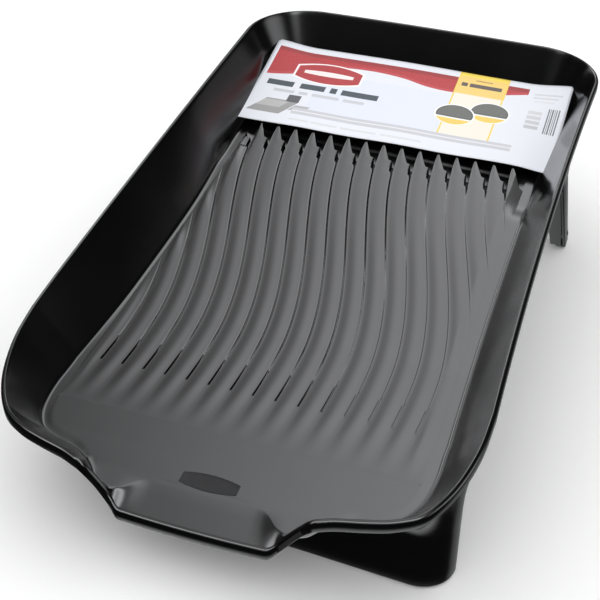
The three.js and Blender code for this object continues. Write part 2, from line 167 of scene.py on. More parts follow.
def half_outline():
    """Right half of the rim's plan, from the middle of the lip to the middle of the back."""
    front = [(x, LIP_Y - LIP_BOW * (1 - (x / 40) ** 2)) for x in (0, 8, 16, 24, 31, 36)]
    corner = catmull([(39, LIP_Y), (45, -267.4), (51, -263.8), (58, -262.2), (68, -261.3), (80, -257.3),
                      (95, -253.9), (110, -249.5), (123.4, -242), (132.9, -229.3), (139.9, -212.6),
                      (144.8, -190), (waisted(HALF_WIDTH, SIDE_FRONT_Y), SIDE_FRONT_Y)], 400)
    corner = resample(corner, 120)
    side_end = BACK_Y - BACK_CORNER
    side = [(waisted(HALF_WIDTH, y), y) for y in np.linspace(SIDE_FRONT_Y, side_end, 90)[1:]]
    arc = []
    for a in np.linspace(0, math.pi / 2, 36)[1:]:
        y = side_end + BACK_CORNER * math.sin(a)
        arc.append((waisted(HALF_WIDTH - BACK_CORNER + BACK_CORNER * math.cos(a), y), y))
    back = [(x, BACK_Y + BACK_BOW * (1 - (x / 92) ** 2)) for x in (78, 62, 46, 30, 15, 0)]
    return np.array(front + list(corner) + side + arc + back)


def floor_inset(x, y):
    if y > 0:
        return SIDE_INSET
    lip = lerp(23, 7, float(smooth((x - 34) / 20)))
    front = lerp(7, FRONT_INSET, float(smooth((x - 54) / 40)))
    side = (SIDE_INSET - FRONT_INSET) * float(smooth((y + 235) / 65))
    return (lip if x < 54 else front) + side


def wall_line(inset, floor, rim, close):
    """Inner face from the floor's edge out to the rim, as [inset, height], with a shallow channel."""
    start = np.array([inset, floor])
    channel = 0.8 * float(smooth((inset - 20) / 10)) if rim > floor else 0.0
    foot = np.array([inset * (0.78 + 0.15 * close if rim > floor else 0.93), floor - channel + 1.4 * close])
    top = np.array([FLANGE, rim - 0.7])
    rise = lerp(foot, top, 0.07 + 0.18 * (1 - channel / 0.8))
    if channel > 0:
        start, mid = lerp(start, foot, 0.75), start
        line = [(1 - t) ** 2 * start + 2 * t * (1 - t) * foot + t * t * rise for t in np.linspace(0, 1, 7)]
        line = [mid, lerp(mid, start, 0.5)] + line
        return np.array(line + [lerp(rise, top, t) for t in (0.2, 0.4, 0.6, 0.8, 0.93, 1.0)])
    line = [(1 - t) ** 2 * start + 2 * t * (1 - t) * foot + t * t * rise for t in np.linspace(0, 1, 9)]
    return np.array(line + [lerp(rise, top, t) for t in (0.2, 0.4, 0.6, 0.8, 0.93, 1.0)])


def under_line(line, depth):
    """The same line one skin's depth below."""
    before = np.vstack([line[:1], line[:-1]])
    after = np.vstack([line[1:], line[-1:]])
    along = after - before
    along /= np.linalg.norm(along, axis=1)[:, None]
    across = np.stack([along[:, 1], -along[:, 0]], 1)
    across[across[:, 1] > 0] *= -1
    out = line + across * depth
    out[0] = line[0] - [0, depth]
    return out


def rib_zone(y):
    return float(smooth((y + 199) / 3) * (1 - smooth((y - 139) / 3)))


def beside_ribs(y):
    return smooth((y + 170) / 30) * (1 - smooth((y - 66) / 28))


def side_level(y, left=False):
    """The floor beside the ribs comes up almost to their tops, and runs out again towards the back."""
    level = RIB_TOP - (LEFT_FALL if left else 1.0)
    return lerp(floor_height(y), np.maximum(floor_height(y), level), beside_ribs(y))


def tray_section(inset, floor, rim, zone, close):
    """Closed half section: recess for the ribs, floor's edge, wall, rolled rim, band, underside."""
    line = wall_line(inset, floor, rim, close)
    under = under_line(line, SKIN)[:-2]
    under[:, 0] = np.maximum(under[:, 0], BAND_SKIN + 0.4)
    neck = max(under[-1][1], rim - BAND + 2)
    sunk = floor - RECESS * zone
    recess = [[inset + 3.0, sunk], [inset + 1.2, sunk], [inset + 0.8, floor]]
    roll = [[FLANGE - 0.35, rim - 0.2], [FLANGE - 0.8, rim], [1.7, rim - 0.28], [0.95, rim - 0.75],
            [0.35, rim - 1.4], [0, rim - 2.2], [0, rim - BAND + 0.5], [0.3, rim - BAND],
            [BAND_SKIN - 0.3, rim - BAND], [BAND_SKIN, rim - BAND + 0.4], [BAND_SKIN, neck]]
    below = [[inset + 1.0, floor - SKIN - 1.0 * zone], [inset + 4.0, floor - SKIN - 1.0 * zone]]
    return np.vstack([recess, line, roll, under[::-1], below])


def across_tray(point, outward, inset, floor, zone, close):
    """Half section at a point of the outline; close brings the wall's foot in to the ribs."""
    half = tray_section(inset, floor, rim_height(*point), zone, close)
    return np.stack([np.maximum(0, point[0] - outward[0] * half[:, 0]),
                     point[1] - outward[1] * half[:, 0], half[:, 1]], 1)


def shell():
    """Rings of half sections around the outline; the floor's ends under the lip are gathered behind it."""
    outline = half_outline()
    rings = []
    for i, point in enumerate(outline):
        before = outline[max(0, i - 2)]
        after = outline[min(len(outline) - 1, i + 2)]
        along = (after - before) / np.linalg.norm(after - before)
        outward = np.array([along[1], -along[0]])
        if i == 0:
            outward = np.array([0.0, -1.0])
        if i == len(outline) - 1:
            outward = np.array([0.0, 1.0])
        if point[1] < -250:
            outward = lerp(np.array([0.0, -1.0]), outward, float(smooth((point[0] - 46) / 12)))
            outward /= np.linalg.norm(outward)
        inset = floor_inset(point[0], point[1])
        floor_y = point[1] - outward[1] * inset
        zone = rib_zone(floor_y)
        right = across_tray(point, outward, inset, float(side_level(floor_y)), zone, 0.0)
        left = across_tray(point, outward, inset, float(side_level(floor_y, True)), zone,
                           float(smooth((floor_y + 225) / 140) * (1 - smooth((floor_y - 5) / 125))))
        gather = -244.6 + 0.01 * i
        for side in (right, left):
            for k, step in ((0, 0.9), (1, 0.4), (2, 0.2), (-2, 0.3), (-1, 1.2)):
                if side[k][1] < gather + step:
                    side[k][2] += floor_height(gather + step) - floor_height(floor_y)
                    side[k][1] = gather + step
        left = left[::-1] * [-1, 1, 1]
        rings.append(np.vstack([right, left]))
    count = len(rings[0])
    return stand(np.vstack(rings)), ring_faces(len(rings), count), outline, rings


# ---------------------------------------------------------------- tray ribs
# One rib's cross section, by share of the pitch: where its columns stand, how deep the groove beside
# it is, and the thin bead along its left edge.
COLUMNS = np.array([0.0, 0.014, 0.028, 0.040, 0.055, 0.075, 0.12, 0.18, 0.25, 0.33, 0.41, 0.49, 0.57, 0.65,
                    0.72, 0.79, 0.85, 0.895, 0.93, 0.955, 0.972, 0.986])
GROOVE = np.array([1.0, 0.85, 0.30, 0.05] + [0.0] * 14 + [0.04, 0.16, 0.45, 0.88])
BEAD = np.array([0.0, 0.2, 0.6, 1.0, 0.85, 0.4] + [0.0] * 16)
WAVE = 0.5 - 0.5 * np.cos(2 * math.pi * np.clip((COLUMNS - 0.06) / 0.93, 0, 1) ** 0.95)


def sweep_line(y):
    """Sideways place of a rib along the board: an S, with a hook at its front end."""
    swept = SWEEP * smooth((y - SWEEP_FROM) / (SWEEP_TO - SWEEP_FROM))
    return -swept - HOOK * np.maximum(0, SWEEP_FROM - y) ** 2


def rib_edge(y):
    """How much of the pitch a rib's right edge takes at the rear: a slot, a small step, then a point."""
    slot = 1 - 0.13 * smooth((y - SLOT_Y + 1.5) / 3)
    point = lerp(0.70, 0.02, np.clip((y - NOTCH_Y) / (RIB_TIP_Y - NOTCH_Y), 0, 1))
    return np.where(y < NOTCH_Y, slot, np.minimum(slot, point))


def ribs(rings, first):
    """Height field of the ribbed floor, its columns following the S so that every groove stays crisp."""
    edge = np.array([ring[3] for ring in rings])
    order = np.argsort(edge[:, 1])
    keep = edge[order]
    keep = keep[(keep[:, 1] > -262) & (keep[:, 1] < 243)]
    rows = np.unique(np.round(np.concatenate([
        np.arange(-202, -165, 2.5), np.arange(-165, -128, 1.2), np.arange(-128, 98, 3.0),
        np.arange(98, 146, 0.9)]), 3))
    vertices, faces = [], []
    columns = [(k, t) for k in range(-13, 13) for t in range(len(COLUMNS))]
    for y in rows:
        limit = float(np.interp(y, keep[:, 1], keep[:, 0]))
        floor = float(floor_height(y))
        fade = float(smooth((y + 203) / 42))
        crest = floor + 0.03 + (max(RIB_TOP, floor + 1.0) - floor - 0.03) * fade
        sharp = float(smooth((y + 158) / 50))
        cut = crest - floor + (RECESS - 0.15) * (1 - float(smooth((y - 128) / 8)))
        depth = lerp(lerp(0.6, 1.7, float(smooth((y + 40) / 120))), cut, float(smooth((y - 96) / 8)))
        soft = fade * lerp(0.40, 0.13, float(smooth((y + 20) / 90)))
        slit = 2.0 * float(smooth((y + 162) / 1.6) * (1 - smooth((y + 143) / 6)))
        right = float(rib_edge(y))
        for k, t in columns:
            share = COLUMNS[t]
            place = share if share <= 0.014 else 0.014 + (share - 0.014) * right
            x = (k + place) * RIB_PITCH + float(sweep_line(y))
            calm = 1 - 0.88 * float(smooth((x - 20) / 40)) * (1 - float(smooth((y - 84) / 16)))
            height = crest - depth * sharp * calm * GROOVE[t] - soft * (1 - WAVE[t])
            height += 0.07 * sharp * BEAD[t]
            if share < 0.045 or share > 0.965:
                height -= slit * calm
            if y > NOTCH_Y:
                height = lerp(height, floor + 0.02, float(smooth((y - RIB_TIP_Y + 1.5) / 2.0)))
            inside = limit - abs(x)
            beside = float(side_level(y, x < 0))
            if x < 0:
                reach = 6.0 + 12.0 * (1 - WAVE[t]) * float(smooth((y + 150) / 30))
                share_in = min(1.0, max(0.0, inside / reach))
                height = lerp(beside + 0.04, height, math.sin(math.pi / 2 * share_in))
            else:
                height = lerp(beside + 0.04, height, min(1.0, max(0.0, inside / 9.0)))
            if inside < 0.3:
                height = beside - 0.4 * (0.3 - max(-1.2, inside)) / 1.5
            x = max(-limit - 1.2, min(limit + 1.2, x))
            ends = float(smooth((y + 202.5) / 5.0) * (1 - smooth((y - 144.0) / 1.5)))
            height = lerp(floor - 0.25, height, ends)
            vertices.append((x, y, height))
    wide = len(columns)
    for i in range(len(rows) - 1):
        for k in range(wide - 1):
            a = first + i * wide + k
            faces.append((a, a + 1, a + wide + 1, a + wide))
    return stand(vertices), faces


# ---------------------------------------------------------------- camera, light, floor
def set_camera():
    """Viewing angle fitted to the photograph: in the tray frame azimuth 18.7, elevation 40.5 degrees."""
    azimuth, elevation, distance = math.radians(18.696), math.radians(40.469), 762.81
    back = Vector((math.sin(azimuth) * math.cos(elevation), -math.cos(azimuth) * math.cos(elevation),
                   math.sin(elevation)))
    right = Vector((math.cos(azimuth), math.sin(azimuth), 0))
    up = back.cross(right)
    turn = Matrix.Rotation(SLOPE, 3, "X")
    place = Vector(stand(np.array([(7.664, -100.42, 0)]))[0]) + (turn @ back) * distance * MM
    basis = Matrix((turn @ right, turn @ up, turn @ back)).transposed()
    camera = bpy.data.cameras.new("camera")
    camera.sensor_width = 36
    camera.lens = 1211.667 * 36 / 600
    holder = bpy.data.objects.new("camera", camera)
    holder.matrix_world = Matrix.Translation(place) @ basis.to_4x4()
    bpy.context.scene.collection.objects.link(holder)
    bpy.context.scene.camera = holder


set_camera()


def area(name, at, toward, size, strength, color=(1, 1, 1)):
    light = bpy.data.lights.new(name, "AREA")
    light.shape = "RECTANGLE"
    light.size, light.size_y = size
    light.energy = strength
    light.color = color
    holder = bpy.data.objects.new(name, light)
    holder.location = at
    holder.rotation_euler = (Vector(toward) - Vector(at)).to_track_quat("-Z", "Y").to_euler()
    bpy.context.scene.collection.objects.link(holder)
    return holder


def ramp(tree, value, low, high, down=False):
    node = tree.nodes.new("ShaderNodeMapRange")
    node.interpolation_type = "SMOOTHSTEP"
    node.inputs["From Min"].default_value = low
    node.inputs["From Max"].default_value = high
    node.inputs["To Min"].default_value = 1.0 if down else 0.0
    node.inputs["To Max"].default_value = 0.0 if down else 1.0
    tree.links.new(value, node.inputs["Value"])
    return node.outputs["Result"]


def combine(tree, operation, *values):
    out = values[0]
    for value in values[1:]:
        node = tree.nodes.new("ShaderNodeMath")
        node.operation = operation
        for socket, part in zip(node.inputs, (out, value)):
            if isinstance(part, float):
                socket.default_value = part
            else:
                tree.links.new(part, socket)
        out = node.outputs[0]
    return out


def set_light():
    """White surroundings; in reflections, one big soft overhead box behind the tray and small fills."""
    key = area("softbox", (-0.7, 0.9, 1.7), (0, 0, 0.05), (1.4, 1.2), 4)
    key.visible_glossy = False
    world = bpy.data.worlds.new("studio")
    bpy.context.scene.world = world
    world.use_nodes = True
    tree = world.node_tree
    tree.nodes.clear()
    place = tree.nodes.new("ShaderNodeTexCoord")
    split = tree.nodes.new("ShaderNodeSeparateXYZ")
    tree.links.new(place.outputs["Generated"], split.inputs[0])
    x, y, z = split.outputs
    back = combine(tree, "MULTIPLY", ramp(tree, z, 0.22, 0.5), ramp(tree, y, -0.42, -0.12),
                   ramp(tree, x, 0.22, 0.52, True))
    from_left = combine(tree, "ADD", combine(tree, "MULTIPLY", ramp(tree, x, -0.58, 0.0), 2.8), 0.5)
    upward = combine(tree, "ADD", combine(tree, "MULTIPLY", ramp(tree, z, 0.70, 0.80), 0.35), 0.97)
    box = combine(tree, "MULTIPLY", back, from_left, upward)
    window = combine(tree, "MULTIPLY", ramp(tree, z, 0.26, 0.35), ramp(tree, z, 0.46, 0.54, True),
                     ramp(tree, x, -0.46, -0.38, True), ramp(tree, x, -0.85, -0.7),
                     ramp(tree, y, 0.3, 0.5), 4.6)
    low_back = combine(tree, "MULTIPLY", ramp(tree, x, -0.72, -0.55, True), ramp(tree, z, 0.02, 0.15),
                       ramp(tree, y, 0.3, 0.5), 1.6)
    edge = combine(tree, "MULTIPLY", ramp(tree, y, -0.72, -0.62), ramp(tree, y, -0.56, -0.46, True),
                   ramp(tree, z, 0.4, 0.5), 8.0)
    side = combine(tree, "MULTIPLY", ramp(tree, x, 0.86, 0.95), ramp(tree, z, -0.15, 0.0), 3.0)
    ground = combine(tree, "MULTIPLY", ramp(tree, z, -0.97, -0.8, True), 1.1)
    behind = combine(tree, "MULTIPLY", ramp(tree, y, 0.2, 0.45), ramp(tree, z, -0.1, 0.0, True), 0.3)
    front = combine(tree, "MULTIPLY", ramp(tree, y, -0.4, -0.2, True), ramp(tree, z, 0.4, 0.65), 1.2)
    glow = combine(tree, "ADD", box, window, low_back, edge, side, ground, behind, front, 0.03)
    seen = tree.nodes.new("ShaderNodeBackground")
    seen.inputs[0].default_value = (1, 1, 1, 1)
    seen.inputs[1].default_value = 1.1
    mirrored = tree.nodes.new("ShaderNodeBackground")
    tree.links.new(glow, mirrored.inputs[1])
    mirrored.inputs[0].default_value = (0.97, 0.98, 1.0, 1)
    path = tree.nodes.new("ShaderNodeLightPath")
    mix = tree.nodes.new("ShaderNodeMixShader")
    out = tree.nodes.new("ShaderNodeOutputWorld")
    tree.links.new(path.outputs["Is Glossy Ray"], mix.inputs[0])
    tree.links.new(seen.outputs[0], mix.inputs[1])
    tree.links.new(mirrored.outputs[0], mix.inputs[2])
    tree.links.new(mix.outputs[0], out.inputs[0])
    bpy.context.scene.view_settings.view_transform = "Standard"


def set_floor():
    mesh = bpy.data.meshes.new("floor")
    steps, side_m = 12, 9
    wide = steps + 1
    line = [(i / steps - 0.5) * side_m for i in range(wide)]
    points = [(x, y, 0) for y in line for x in line]
    corners = [j * wide + i for j in range(steps) for i in range(steps)]
    faces = [(a, a + 1, a + wide + 1, a + wide) for a in corners]
    mesh.from_pydata(points, [], faces)
    floor = bpy.data.objects.new("floor", mesh)
    bpy.context.scene.collection.objects.link(floor)
    material = bpy.data.materials.new("floor_white")
    material.use_nodes = True
    shader = material.node_tree.nodes["Principled BSDF"]
    shader.inputs["Base Color"].default_value = (0.95, 0.95, 0.95, 1)
    shader.inputs["Roughness"].default_value = 0.9
    mesh.materials.append(material)
    floor.visible_glossy = False


set_light()
set_floor()


# ---------------------------------------------------------------- materials
class Graph:
    """Short calls for building a node material."""

    def __init__(self, name):
        self.material = bpy.data.materials.new(name)
        self.material.use_nodes = True
        self.tree = self.material.node_tree
        self.shader = self.tree.nodes["Principled BSDF"]

    def node(self, kind, **settings):
        node = self.tree.nodes.new(kind)
        for key, value in settings.items():
            setattr(node, key, value)
        return node

    def feed(self, socket, value):
        if hasattr(value, "is_output"):
            self.tree.links.new(value, socket)
        else:
            socket.default_value = value

    def math(self, operation, a, b=0.0):
        node = self.node("ShaderNodeMath", operation=operation)
        self.feed(node.inputs[0], a)
        self.feed(node.inputs[1], b)
        return node.outputs[0]

    def both(self, *masks):
        out = masks[0]
        for mask in masks[1:]:
            out = self.math("MULTIPLY", out, mask)
        return out

    def mix(self, mask, below, above):
        node = self.node("ShaderNodeMix", data_type="RGBA")
        self.feed(node.inputs[0], mask)
        self.feed(node.inputs[6], below)
        self.feed(node.inputs[7], above)
        return node.outputs[2]

    def noise(self, scale, detail=2.0, rough=0.5):
        place = self.node("ShaderNodeTexCoord")
        node = self.node("ShaderNodeTexNoise")
        node.inputs["Scale"].default_value = scale
        node.inputs["Detail"].default_value = detail
        node.inputs["Roughness"].default_value = rough
        self.tree.links.new(place.outputs["Object"], node.inputs["Vector"])
        return node.outputs["Fac"]

    def span(self, value, low, high):
        node = self.node("ShaderNodeMapRange")
        self.feed(node.inputs["Value"], value)
        node.inputs["From Min"].default_value = 0.3
        node.inputs["From Max"].default_value = 0.7
        node.inputs["To Min"].default_value = low
        node.inputs["To Max"].default_value = high
        return node.outputs["Result"]

    def bump(self, height, strength, distance):
        node = self.node("ShaderNodeBump")
        node.inputs["Strength"].default_value = strength
        node.inputs["Distance"].default_value = distance
        self.feed(node.inputs["Height"], height)
        self.tree.links.new(node.outputs["Normal"], self.shader.inputs["Normal"])


def gloss_black():
    g = Graph("gloss_black_moulded")
    haze = g.noise(9.0, 3.0)
    g.feed(g.shader.inputs["Roughness"], g.span(haze, 0.15, 0.22))
    tone = g.mix(g.span(g.noise(4.0), 0.0, 1.0), (0.0006, 0.0006, 0.0007, 1), (0.0012, 0.0012, 0.0014, 1))
    g.feed(g.shader.inputs["Base Color"], tone)
    g.shader.inputs["IOR"].default_value = 1.5
    g.bump(g.noise(60.0, 2.0), 0.12, 0.0003)
    return g.material


def satin_black():
    g = Graph("satin_black_badge")
    g.feed(g.shader.inputs["Roughness"], g.span(g.noise(300.0, 3.0), 0.42, 0.55))
    g.shader.inputs["Base Color"].default_value = (0.002, 0.002, 0.0024, 1)
    g.shader.inputs["Specular IOR Level"].default_value = 0.2
    g.bump(g.noise(900.0, 3.0), 0.25, 0.0001)
    return g.material


def black_rubber():
    g = Graph("black_rubber")
    g.feed(g.shader.inputs["Base Color"],
           g.mix(g.noise(500.0, 4.0), (0.012, 0.012, 0.012, 1), (0.03, 0.03, 0.03, 1)))
    g.feed(g.shader.inputs["Roughness"], g.span(g.noise(300.0, 3.0), 0.75, 0.95))
    g.bump(g.noise(1500.0, 3.0), 0.4, 0.0002)
    return g.material


class Card(Graph):
    """Printed card: every mark is a mask over the card's own u, v; WIDE and DEEP set a disc's shape."""

    WIDE, DEEP = 257.0, 134.0

    def __init__(self, name):
        super().__init__(name)
        place = self.node("ShaderNodeUVMap", uv_map="card")
        split = self.node("ShaderNodeSeparateXYZ")
        self.tree.links.new(place.outputs[0], split.inputs[0])
        self.u, self.v = split.outputs[0], split.outputs[1]
        self.color = (0.76, 0.78, 0.84, 1)

    def box(self, u0, u1, v0, v1):
        return self.both(self.math("GREATER_THAN", self.u, u0), self.math("LESS_THAN", self.u, u1),
                         self.math("GREATER_THAN", self.v, v0), self.math("LESS_THAN", self.v, v1))

    def leaning(self, u0, u1, v0, v1, lean):
        slid = self.math("SUBTRACT", self.u, self.math("MULTIPLY", self.math("SUBTRACT", self.v, v0), lean))
        return self.both(self.math("GREATER_THAN", slid, u0), self.math("LESS_THAN", slid, u1),
                         self.math("GREATER_THAN", self.v, v0), self.math("LESS_THAN", self.v, v1))

    def disc(self, u, v, radius):
        du = self.math("MULTIPLY", self.math("SUBTRACT", self.u, u), self.WIDE)
        dv = self.math("MULTIPLY", self.math("SUBTRACT", self.v, v), self.DEEP)
        reach = self.math("ADD", self.math("MULTIPLY", du, du), self.math("MULTIPLY", dv, dv))
        return self.math("LESS_THAN", reach, radius ** 2)

    def bowed(self, u0, u1, v0, v1, bow):
        across = self.math("DIVIDE", self.math("SUBTRACT", self.u, (u0 + u1) / 2), (u1 - u0) / 2)
        lift = self.math("MULTIPLY", self.math("SUBTRACT", 1.0, self.math("MULTIPLY", across, across)), bow)
        return self.both(self.math("GREATER_THAN", self.u, u0), self.math("LESS_THAN", self.u, u1),
                         self.math("GREATER_THAN", self.v, self.math("SUBTRACT", v0, lift)),
                         self.math("LESS_THAN", self.v, self.math("ADD", v1, lift)))

    def curve(self, points):
        node = self.node("ShaderNodeFloatCurve")
        line = node.mapping.curves[0]
        line.points[0].location = points[0]
        line.points[1].location = points[-1]
        for point in points[1:-1]:
            line.points.new(*point)
        node.mapping.update()
        self.feed(node.inputs["Value"], self.u)
        return node.outputs[0]

    def paint(self, mask, color):
        self.color = self.mix(mask, self.color, (*color, 1))

    def words(self, v0, v1, spans, color):
        for u0, u1 in spans:
            self.paint(self.box(u0, u1, v0, v1), color)


def label_print():
    c = Card("label_print")
    c.color = c.mix(c.both(c.box(0.2, 0.64, 0.2, 0.7), 0.5), c.color, (0.68, 0.73, 0.86, 1))
    edge = c.curve([(0.0, 0.585), (0.06, 0.61), (0.13, 0.66), (0.23, 0.79), (0.33, 0.82), (0.45, 0.80),
                    (0.56, 0.74), (0.66, 0.74), (0.78, 0.80), (0.90, 0.875), (1.0, 0.9)])
    band = c.both(c.box(0.016, 0.866, 0.5, 0.93), c.math("GREATER_THAN", c.v, edge))
    c.paint(band, (0.40, 0.022, 0.028))
    c.paint(c.both(band, c.box(0.0, 0.9, 0.885, 1.0), 0.6), (0.20, 0.010, 0.014))
    c.paint(c.both(band, c.math("LESS_THAN", c.v, c.math("ADD", edge, 0.03)), 0.6), (0.50, 0.06, 0.07))
    c.paint(c.bowed(0.103, 0.335, 0.615, 0.765, 0.055), (0.93, 0.88, 0.88))
    c.paint(c.bowed(0.110, 0.328, 0.628, 0.752, 0.055), (0.38, 0.02, 0.027))
    c.paint(c.bowed(0.135, 0.303, 0.675, 0.71, 0.012), (0.9, 0.8, 0.8))
    c.words(0.470, 0.535, [(0.035, 0.125), (0.148, 0.232), (0.250, 0.272), (0.288, 0.410)],
            (0.03, 0.045, 0.06))
    c.words(0.395, 0.430, [(0.070, 0.140), (0.155, 0.185), (0.20, 0.29), (0.305, 0.375)],
            (0.55, 0.56, 0.60))
    c.paint(c.leaning(0.020, 0.130, 0.120, 0.300, 0.25), (0.30, 0.30, 0.30))
    c.paint(c.leaning(0.040, 0.120, 0.200, 0.285, 0.25), (0.45, 0.45, 0.45))
    c.paint(c.box(0.130, 0.172, 0.285, 0.375), (0.07, 0.07, 0.08))
    c.paint(c.leaning(0.150, 0.200, 0.185, 0.255, 0.25), (0.42, 0.42, 0.44))
    column = c.box(0.632, 0.797, 0.19, 1.0)
    c.paint(column, (0.85, 0.80, 0.70))
    c.paint(c.both(column, c.box(0.6, 0.8, 0.74, 1.0)), (0.88, 0.60, 0.18))
    c.paint(c.both(column, c.box(0.6, 0.8, 0.955, 1.0)), (0.90, 0.68, 0.10))
    for u in (0.634, 0.792):
        c.paint(c.box(u - 0.002, u + 0.003, 0.19, 1.0), (0.85, 0.62, 0.12))
    c.words(0.835, 0.880, [(0.648, 0.668), (0.675, 0.780)], (0.09, 0.07, 0.06))
    c.words(0.915, 0.930, [(0.690, 0.745)], (0.45, 0.30, 0.08))
    for u, v in ((0.768, 0.560), (0.664, 0.475)):
        c.paint(c.disc(u, v, 16.6), (0.92, 0.92, 0.92))
        c.paint(c.disc(u, v, 15.2), (0.075, 0.08, 0.075))
        c.paint(c.both(c.disc(u, v, 13.9), c.math("GREATER_THAN", c.v, v - 0.02)), (0.11, 0.115, 0.105))
        c.paint(c.both(c.disc(u, v, 16.6), c.math("LESS_THAN", c.v, v - 0.035)), (0.92, 0.90, 0.86))
        c.paint(c.both(c.disc(u, v, 15.6), c.math("LESS_THAN", c.v, v - 0.052)), (0.82, 0.58, 0.12))
    c.paint(c.box(0.165, 0.868, 0.150, 0.228), (0.55, 0.56, 0.60))
    c.paint(c.box(0.165, 0.868, 0.186, 0.196), (0.80, 0.81, 0.84))
    c.words(0.070, 0.092, [(0.170, 0.235), (0.245, 0.33), (0.34, 0.455), (0.47, 0.60)], (0.66, 0.67, 0.70))
    c.words(0.865, 0.885, [(0.885, 0.975)], (0.62, 0.63, 0.66))
    c.words(0.825, 0.843, [(0.885, 0.965)], (0.62, 0.63, 0.66))
    c.words(0.780, 0.800, [(0.890, 0.955)], (0.70, 0.71, 0.74))
    for i in range(4):
        v, fade = 0.058 * i, 0.04 * i
        c.words(0.46 + v, 0.50 + v, [(0.883, 0.927)], (0.50 + fade, 0.51 + fade, 0.53 + fade))
    stripes = ((0.944, 0.004), (0.951, 0.002), (0.956, 0.0045),
               (0.964, 0.002), (0.969, 0.003), (0.976, 0.004))
    for u, width in stripes:
        c.paint(c.box(u, u + width, 0.43, 0.72), (0.12, 0.12, 0.13))
    fibre = c.noise(700.0, 4.0)
    c.feed(c.shader.inputs["Base Color"], c.mix(c.span(fibre, 0.0, 0.05), c.color, (0.75, 0.75, 0.76, 1)))
    c.feed(c.shader.inputs["Roughness"], c.span(fibre, 0.38, 0.5))
    c.shader.inputs["Specular IOR Level"].default_value = 0.25
    c.bump(c.noise(45.0, 3.0), 0.15, 0.001)
    return c.material


def card_back():
    g = Graph("card_back")
    g.feed(g.shader.inputs["Base Color"],
           g.mix(g.noise(400.0, 4.0), (0.62, 0.61, 0.58, 1), (0.72, 0.71, 0.68, 1)))
    g.shader.inputs["Roughness"].default_value = 0.75
    g.bump(g.noise(900.0, 3.0), 0.2, 0.0002)
    return g.material


GLOSS, SATIN, RUBBER = gloss_black(), satin_black(), black_rubber()


# ---------------------------------------------------------------- tray
def build_tray():
    points, faces, outline, rings = shell()
    top, top_faces = ribs(rings, len(points))
    tree = BVHTree.FromPolygons([Vector(p) for p in points], faces)
    tray = make("tray_moulding", np.vstack([points, top]), faces + top_faces, "tray", 32)
    tray.data.materials.append(GLOSS)
    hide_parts("tray")
    return tray, tree, outline


def under(tree, x, y, fallback=60.0):
    """Height in millimetres of the tray's underside above a point of the table."""
    hit = tree.ray_cast(Vector((x * MM, y * MM, -0.01)), Vector((0, 0, 1)))
    return hit[0].z / MM if hit[0] is not None else fallback


# ---------------------------------------------------------------- skirt and sockets
SKIRT_FOOT, SKIRT_FRONT, SKIRT_SIDE, SKIRT_BACK, SKIRT_CORNER = 1.6, -228.0, 141.0, -60.0, 21.0
DRAFT, FLARE, FLARE_FROM, FLARE_TO = 0.03, 13.0, 38.0, 64.0


def skirt_plan():
    """Plan of the skirt: right side, right corner, front, the cut-back left corner, left side."""
    plan = [(lerp(SKIRT_SIDE - 19, SKIRT_SIDE, t), lerp(SKIRT_BACK, SKIRT_FRONT + SKIRT_CORNER, t))
            for t in np.linspace(0, 1, 16)]
    for a in np.linspace(0, math.pi / 2, 22)[1:]:
        plan.append((SKIRT_SIDE - SKIRT_CORNER + SKIRT_CORNER * math.cos(a),
                     SKIRT_FRONT + SKIRT_CORNER - SKIRT_CORNER * math.sin(a)))
    plan += [(x, SKIRT_FRONT + (119 - x) * 0.055) for x in np.linspace(115, 50, 20)]
    plan += [(x, SKIRT_FRONT + 4) for x in np.linspace(42, -42, 10)]
    for t in np.linspace(0, 1, 8)[1:]:
        plan.append((lerp(lerp(-42, -56, t), lerp(-56, -66, t), t),
                     lerp(SKIRT_FRONT + 4, lerp(SKIRT_FRONT + 4, SKIRT_FRONT + 13, t), t)))
    plan += [(lerp(-66, -130, t), lerp(SKIRT_FRONT + 13, -164, t)) for t in np.linspace(0, 1, 14)[1:]]
    for t in np.linspace(0, 1, 8)[1:]:
        plan.append((lerp(lerp(-130, -138, t), -138, t), lerp(lerp(-164, -156, t), lerp(-156, -142, t), t)))
    plan += [(lerp(-138, -SKIRT_SIDE + 19, t), lerp(-142, SKIRT_BACK, t)) for t in np.linspace(0, 1, 8)[1:]]
    return np.array(plan)


def flare_end(point, outward, edge):
    """Distance and height at which a line out of the skirt meets the rim's band."""
    for a, b in zip(edge[:-1], edge[1:]):
        along = b - a
        cross = outward[0] * along[1] - outward[1] * along[0]
        if abs(cross) < 1e-9:
            continue
        gap = a[:2] - point
        reach = (gap[0] * along[1] - gap[1] * along[0]) / cross
        share = (gap[0] * outward[1] - gap[1] * outward[0]) / cross
        if 0 <= share < 1 and -5 < reach < 60:
            return reach, a[2] + along[2] * share
    return 0.0, FLARE_TO


